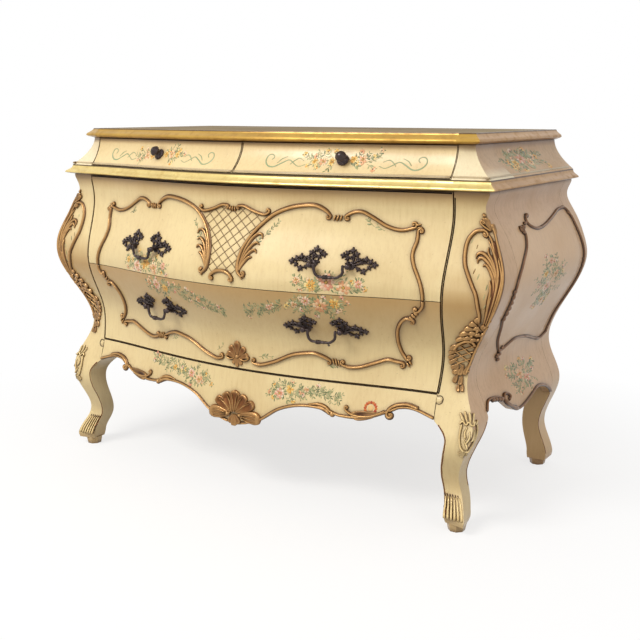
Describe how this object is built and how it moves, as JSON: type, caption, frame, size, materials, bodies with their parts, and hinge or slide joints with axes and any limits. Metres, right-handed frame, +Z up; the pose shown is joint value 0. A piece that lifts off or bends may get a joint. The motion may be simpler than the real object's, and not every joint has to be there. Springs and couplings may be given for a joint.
{
  "type": "bombe chest",
  "caption": "Bombe chest with serpentine kettle-shaped front, coved frieze drawers over deep drawers with drop-bail pulls, gilt mouldings and cabriole legs",
  "frame": {"origin": "on the floor, at the middle of the chest's width and depth", "axes": "+Z up, X across the width, the drawers face -Y"},
  "size_m": [1.28, 0.6499, 0.844],
  "materials": {
    "top_paint": "dark olive painted board under varnish",
    "front_paint": "cream-yellow paint under satin varnish",
    "side_paint": "pinkish beige paint under satin varnish",
    "gilt": "gilded and polished",
    "carving_gilt": "worn bronze-gold gilding",
    "raw_wood": "plain, unpainted",
    "bronze": "dark antique patina"
  },
  "bodies": {
    "case": {"top_panel": "top_paint", "top_moulding_front": "gilt", "top_moulding_left": "gilt", "top_moulding_right": "gilt", "waist_moulding_front": "gilt", "waist_moulding_left": "gilt", "waist_moulding_right": "gilt", "frieze_block_left": "front_paint", "frieze_block_right": "front_paint", "front_leg_left": "front_paint", "front_leg_right": "front_paint", "front_apron": "front_paint", "frieze_side_left": "side_paint", "frieze_side_right": "side_paint", "rear_leg_left": "side_paint", "rear_leg_right": "side_paint", "side_panel_left": "side_paint", "side_panel_right": "side_paint", "case_top": "raw_wood", "waist_board": "raw_wood", "frieze_divider": "raw_wood", "frieze_back": "raw_wood", "back_panel": "raw_wood", "middle_board": "raw_wood", "bottom_board": "raw_wood", "drawer_guides": "raw_wood", "apron_shell": "carving_gilt", "corner_carving_left": "carving_gilt", "corner_carving_right": "carving_gilt", "side_cartouche_left": "carving_gilt", "side_cartouche_right": "carving_gilt"},
    "lower_drawer": {"lower_drawer_front": "front_paint", "lower_drawer_sides": "raw_wood", "lower_drawer_back": "raw_wood", "lower_drawer_bottom": "raw_wood", "lower_drawer_cartouche": "carving_gilt", "lower_drawer_backplates": "bronze", "lower_drawer_posts": "bronze"},
    "upper_drawer": {"upper_drawer_front": "front_paint", "upper_drawer_sides": "raw_wood", "upper_drawer_back": "raw_wood", "upper_drawer_bottom": "raw_wood", "upper_drawer_cartouche": "carving_gilt", "upper_drawer_backplates": "bronze", "upper_drawer_posts": "bronze"},
    "frieze_drawer_left": {"frieze_drawer_left_front": "front_paint", "frieze_drawer_left_sides": "raw_wood", "frieze_drawer_left_back": "raw_wood", "frieze_drawer_left_bottom": "raw_wood", "frieze_drawer_left_knob": "bronze"},
    "frieze_drawer_right": {"frieze_drawer_right_front": "front_paint", "frieze_drawer_right_sides": "raw_wood", "frieze_drawer_right_back": "raw_wood", "frieze_drawer_right_bottom": "raw_wood", "frieze_drawer_right_knob": "bronze"},
    "upper_drawer_left_bail": {"upper_drawer_left_bail": "bronze"},
    "upper_drawer_right_bail": {"upper_drawer_right_bail": "bronze"},
    "lower_drawer_left_bail": {"lower_drawer_left_bail": "bronze"},
    "lower_drawer_right_bail": {"lower_drawer_right_bail": "bronze"}
  },
  "joints": [
    {"name": "lower_drawer_slide", "type": "slide", "parent": "case", "child": "lower_drawer", "axis": [0, -1, 0], "range_m": [0, 0.36]},
    {"name": "upper_drawer_slide", "type": "slide", "parent": "case", "child": "upper_drawer", "axis": [0, -1, 0], "range_m": [0, 0.36]},
    {"name": "frieze_drawer_left_slide", "type": "slide", "parent": "case", "child": "frieze_drawer_left", "axis": [0, -1, 0], "range_m": [0, 0.34]},
    {"name": "frieze_drawer_right_slide", "type": "slide", "parent": "case", "child": "frieze_drawer_right", "axis": [0, -1, 0], "range_m": [0, 0.34]},
    {"name": "upper_right_bail_hinge", "type": "hinge", "parent": "upper_drawer", "child": "upper_drawer_right_bail", "pos_m": [0.266, -0.28891, 0.566], "axis": [-0.9736, -0.2283, 0], "range_deg": [0, 85]},
    {"name": "upper_left_bail_hinge", "type": "hinge", "parent": "upper_drawer", "child": "upper_drawer_left_bail", "pos_m": [-0.266, -0.28891, 0.566], "axis": [-0.9736, 0.2283, 0], "range_deg": [0, 85]},
    {"name": "lower_right_bail_hinge", "type": "hinge", "parent": "lower_drawer", "child": "lower_drawer_right_bail", "pos_m": [0.238, -0.27143, 0.417], "axis": [-0.9789, -0.2046, 0], "range_deg": [0, 85]},
    {"name": "lower_left_bail_hinge", "type": "hinge", "parent": "lower_drawer", "child": "lower_drawer_left_bail", "pos_m": [-0.238, -0.27143, 0.417], "axis": [-0.9789, 0.2046, 0], "range_deg": [0, 85]}
  ]
}
